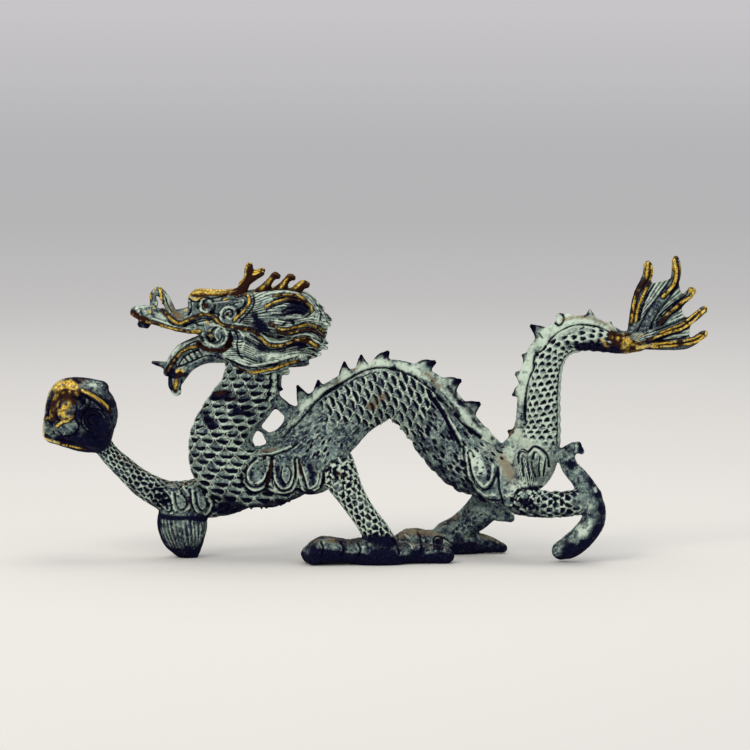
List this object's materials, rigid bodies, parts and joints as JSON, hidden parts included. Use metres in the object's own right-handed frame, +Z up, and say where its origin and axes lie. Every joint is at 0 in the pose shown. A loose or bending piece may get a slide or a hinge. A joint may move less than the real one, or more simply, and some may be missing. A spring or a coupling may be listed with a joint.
{
  "type": "dragon sculpture",
  "caption": "Cast brass dragon with arched body, flowing mane and tail fan, standing on its feet with a pearl in its raised paw.",
  "frame": {"origin": "on the ground under the middle of the figure's box", "axes": "+X runs along the body from the head to the tail fan, +Y from the near side in the picture to the far side, +Z up"},
  "size_m": [0.2295, 0.0398, 0.105],
  "materials": {
    "patinated_brass": "cast, grey-green patina with dark recesses and rubbed golden edges"
  },
  "bodies": {
    "root": {"dragon": "patinated_brass"}
  },
  "joints": []
}
